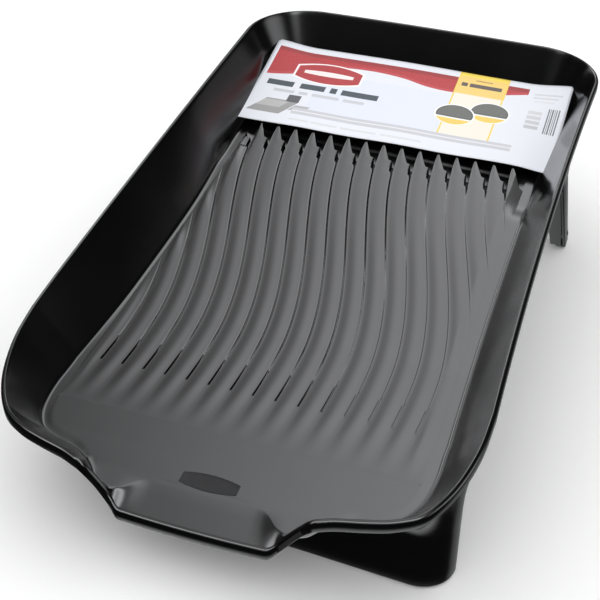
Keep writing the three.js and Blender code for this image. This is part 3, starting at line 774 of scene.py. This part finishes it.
def build_skirt(tree, outline):
    """Skirt under the front, flared out to the rim's band on the right of the lip."""
    band = np.array([(x, y, rim_height(x, y) - BAND) for x, y in outline])
    edge = stand(band) / MM - [0, SHIFT, 0]
    plan = skirt_plan()
    rings = []
    for i, point in enumerate(plan):
        along = plan[min(len(plan) - 1, i + 1)] - plan[max(0, i - 1)]
        along = along / np.linalg.norm(along)
        outward = np.array([-along[1], along[0]])
        reach, height = flare_end(point, outward, edge)
        beyond_lip = float(smooth((point[0] - 50) / 15)) if point[0] > 0 else 0.0
        reach = min(max(reach - BAND_SKIN * 0.7, -2.0), FLARE) * beyond_lip
        top = lerp(FLARE_TO, height + 1.5, beyond_lip)
        profile = [(-0.6, SKIRT_FOOT), (-0.15, SKIRT_FOOT + 0.2), (0.0, SKIRT_FOOT + 0.8)]
        for z in (10.0, 20.0, 30.0):
            profile.append((-DRAFT * z * 0.9, z))
        for t in np.linspace(0, 1, 13):
            profile.append((lerp(-DRAFT * FLARE_FROM, reach, t ** 2), lerp(FLARE_FROM, top, t)))

        def at(offset, z):
            x, y = point + outward * offset
            return (x, y + SHIFT, z)

        outer = [at(*p) for p in profile]
        inner = [at(offset - SKIN, z) for offset, z in profile]
        for line in (outer, inner):
            x, y, z = line[-1]
            ceiling = under(tree, x, y, z) + 0.9
            for k, p in enumerate(line):
                line[k] = (p[0], p[1], min(p[2], under(tree, p[0], p[1], 200.0) + 0.9))
            line.append((x, y, max(line[-1][2], ceiling)))
        rings.append(outer + inner[::-1])
    count = len(rings[0])
    faces = ring_faces(len(rings), count)
    last = (len(rings) - 1) * count
    for k in range(count // 2 - 1):
        faces.append((k, count - 1 - k, count - 2 - k, k + 1))
        faces.append((last + k, last + k + 1, last + count - 2 - k, last + count - 1 - k))
    points = np.vstack([np.array(r) for r in rings]) * MM
    skirt = make("front_skirt", points, faces, "tray", 40)
    skirt.data.materials.append(GLOSS)
    return skirt


def build_web(name, pad_node, radius):
    """Round web with a softened edge, inside the skirt's corner, that the foot pad sticks to."""
    low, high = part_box(pad_node)
    middle = ((low.x + high.x) / 2 / MM, (low.y + high.y) / 2 / MM)
    profile = [(0.0, 1.6), (radius - 1.2, 1.6), (radius - 0.3, 1.9), (radius, 2.6),
               (radius - 0.5, 3.6), (0.0, 4.0)]
    count = 48
    rings = []
    for i in range(count):
        a = 2 * math.pi * i / count
        rings += [(middle[0] + r * math.cos(a), middle[1] + r * math.sin(a), z) for r, z in profile]
    web = make(name, np.array(rings) * MM, ring_faces(count, len(profile), True), "tray", 35)
    web.data.materials.append(GLOSS)
    return web


def build_socket(tree, side):
    """Open box under the wall that a rear leg's top plugs into."""
    x0, x1, y0, y1, z0 = 124.0, 140.0, 156.0 + SHIFT, 181.5 + SHIFT, 62.3
    corner, steps = 1.6, 5
    loop = []
    for cx, cy, start in ((x1 - corner, y1 - corner, 0), (x0 + corner, y1 - corner, 90),
                          (x0 + corner, y0 + corner, 180), (x1 - corner, y0 + corner, 270)):
        for k in range(steps):
            a = math.radians(start + 90 * k / (steps - 1))
            loop.append((cx + corner * math.cos(a), cy + corner * math.sin(a)))
    wall = 2.0
    middle = ((x0 + x1) / 2, (y0 + y1) / 2)

    def inner(x, y):
        return (middle[0] + (x - middle[0]) * (1 - wall / ((x1 - x0) / 2)),
                middle[1] + (y - middle[1]) * (1 - wall / ((y1 - y0) / 2)))

    rings = []
    for x, y in loop:
        ceiling = under(tree, x * side, y, 90.0) + 0.9
        ix, iy = inner(x, y)
        inner_ceiling = under(tree, ix * side, iy, 90.0) - 0.1
        rings.append([(x * side, y, ceiling), (x * side, y, z0 + 0.5),
                      (lerp(x, ix, 0.2) * side, lerp(y, iy, 0.2), z0),
                      (ix * side, iy, z0), (ix * side, iy, inner_ceiling)])
    count = len(rings[0])
    faces = ring_faces(len(rings), count, True)
    name = "leg_socket_right" if side > 0 else "leg_socket_left"
    socket = make(name, np.vstack([np.array(r) for r in rings]) * MM, faces, "tray", 35)
    socket.data.materials.append(GLOSS)
    return socket


# ---------------------------------------------------------------- badge
def build_badge():
    """Blank bowed badge on the apron, raised by a hair, with a rolled frame."""
    width, height, middle_y = 35.0, 13.0, -237.0
    loop = []
    for side, sign in ((-1, 1), (1, -1)):
        for t in np.linspace(-1, 1, 33):
            x = t * sign * width / 2
            loop.append((x, side * height / 2 * (0.62 + 0.38 * (1 - t * t))))
    levels = [(1.0, 0.0), (0.985, 0.22), (0.965, 0.34), (0.94, 0.34), (0.925, 0.2), (0.90, 0.14),
              (0.5, 0.14), (0.01, 0.14)]
    vertices, faces = [], []
    for scale, lift in levels:
        for x, y in loop:
            yy = middle_y + y * (scale if scale < 0.9 else 1 - (1 - scale) * 2.2)
            vertices.append((x * scale, yy, float(floor_height(yy)) + lift - 0.02))
    count = len(loop)
    faces = ring_faces(len(levels), count)
    faces.append(tuple(range((len(levels) - 1) * count, len(levels) * count)))
    faces.append(tuple(range(count))[::-1])
    badge = make("blank_badge", stand(vertices), faces, "tray", 50)
    badge.data.materials.append(SATIN)
    return badge


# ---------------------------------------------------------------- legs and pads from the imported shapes
def softened(name, node, body, width, material):
    """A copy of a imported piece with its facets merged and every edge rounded."""
    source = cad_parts[node]
    piece = bpy.data.objects.new(name, source.data.copy())
    piece.data.name = name
    piece.data.materials.clear()
    bpy.context.scene.collection.objects.link(piece)
    work = bmesh.new()
    work.from_mesh(piece.data)
    bmesh.ops.remove_doubles(work, verts=work.verts, dist=1e-6)
    bmesh.ops.dissolve_limit(work, angle_limit=math.radians(2), verts=work.verts, edges=work.edges)
    sharp = [e for e in work.edges if len(e.link_faces) == 2 and e.calc_face_angle(0) > math.radians(25)]
    bmesh.ops.bevel(work, geom=sharp, offset=width * MM, segments=3, profile=0.5, affect="EDGES")
    work.to_mesh(piece.data)
    work.free()
    finish_mesh(piece, 40)
    piece.data.materials.append(material)
    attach(piece, body)
    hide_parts(node)
    return piece


# ---------------------------------------------------------------- label
LABEL = {"half": 128.0, "front": 133.6, "back": 246.0, "z": -28.7, "thick": 0.28}


def card_height(x, y):
    """The card leans up to the back wall, its back corners ride up the corner walls."""
    back = max(0.0, (y - LABEL["front"]) / (LABEL["back"] - LABEL["front"]))
    z = LABEL["z"] + 8.3 * back ** 1.5
    z += 3.5 * float(smooth((abs(x) - 92) / 40)) * float(smooth((y - 190) / 60))
    z += 0.35 * math.sin(x / 13.0 + 1.0) * (1 - back) + 0.5 * math.sin(x / 31.0 + 2.0) * back
    z -= 1.6 * float(smooth((x - 100) / 28)) * (1 - back) ** 2
    return z


def build_label():
    across, deep = 96, 44
    vertices = []
    for layer in (0.0, -LABEL["thick"]):
        for j in range(deep + 1):
            for i in range(across + 1):
                x = lerp(-LABEL["half"], LABEL["half"], i / across)
                y = lerp(LABEL["front"] + 0.7 * math.sin(x / 60.0), LABEL["back"], j / deep)
                vertices.append((x, y, card_height(x, y) + layer))
    wide = across + 1
    layer = wide * (deep + 1)
    faces = []
    for j in range(deep):
        for i in range(across):
            a = j * wide + i
            faces.append((a, a + 1, a + wide + 1, a + wide))
            faces.append((a + layer, a + wide + layer, a + wide + 1 + layer, a + 1 + layer))
    border = list(range(wide)) + [j * wide + across for j in range(1, deep + 1)]
    border += [deep * wide + i for i in range(across - 1, -1, -1)]
    border += [j * wide for j in range(deep - 1, 0, -1)]
    for a, b in zip(border, border[1:] + border[:1]):
        faces.append((a, a + layer, b + layer, b))
    mesh = bpy.data.meshes.new("printed_card")
    mesh.from_pydata([tuple(v) for v in stand(vertices)], [], faces)
    card = bpy.data.objects.new("printed_card", mesh)
    bpy.context.scene.collection.objects.link(card)
    mesh.materials.append(label_print())
    mesh.materials.append(card_back())
    uv = mesh.uv_layers.new(name="card")
    for face in mesh.polygons:
        top = all(v < layer for v in face.vertices)
        face.material_index = 0 if top else 1
        face.use_smooth = top
        for loop in face.loop_indices:
            v = mesh.loops[loop].vertex_index % layer
            uv.data[loop].uv = ((v % wide) / across, (v // wide) / deep)
    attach(card, "label")
    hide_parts("product_label")
    return card


tray, tree, outline = build_tray()
build_skirt(tree, outline)
build_web("corner_web_right", "front_foot_pad_right", 13.0)
build_web("corner_web_left", "front_foot_pad_left", 13.0)
build_socket(tree, 1)
build_socket(tree, -1)
build_badge()
for side in ("right", "left"):
    softened("leg_" + side, "rear_leg_" + side, "leg_" + side, 0.5, GLOSS)
    softened("leg_pad_" + side, "rear_foot_pad_" + side, "leg_" + side, 0.35, RUBBER)
    softened("skirt_pad_" + side, "front_foot_pad_" + side, "tray", 0.3, RUBBER)
build_label()
